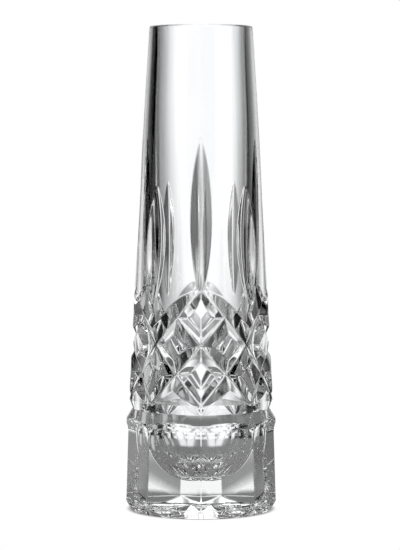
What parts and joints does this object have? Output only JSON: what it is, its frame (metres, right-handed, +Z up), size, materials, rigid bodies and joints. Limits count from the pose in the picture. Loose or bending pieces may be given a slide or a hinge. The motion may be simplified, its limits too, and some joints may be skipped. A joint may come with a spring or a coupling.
{
  "type": "cut crystal vase",
  "caption": "Tall tapering bud vase in clear cut crystal, with spear cuts above a band of diamond cuts, a waist groove and a thick faceted foot.",
  "frame": {"origin": "middle of the flat ring under the foot that the vase rests on", "axes": "+Z up along the vase's axis, towards the open rim; +X and +Y through the middles of two neighbouring long spear cuts"},
  "size_m": [0.0718, 0.0718, 0.23],
  "materials": {
    "crystal": "clear colourless lead crystal, fire-polished inside, cut facets polished bright"
  },
  "bodies": {
    "root": {"vase": "crystal"}
  },
  "joints": []
}
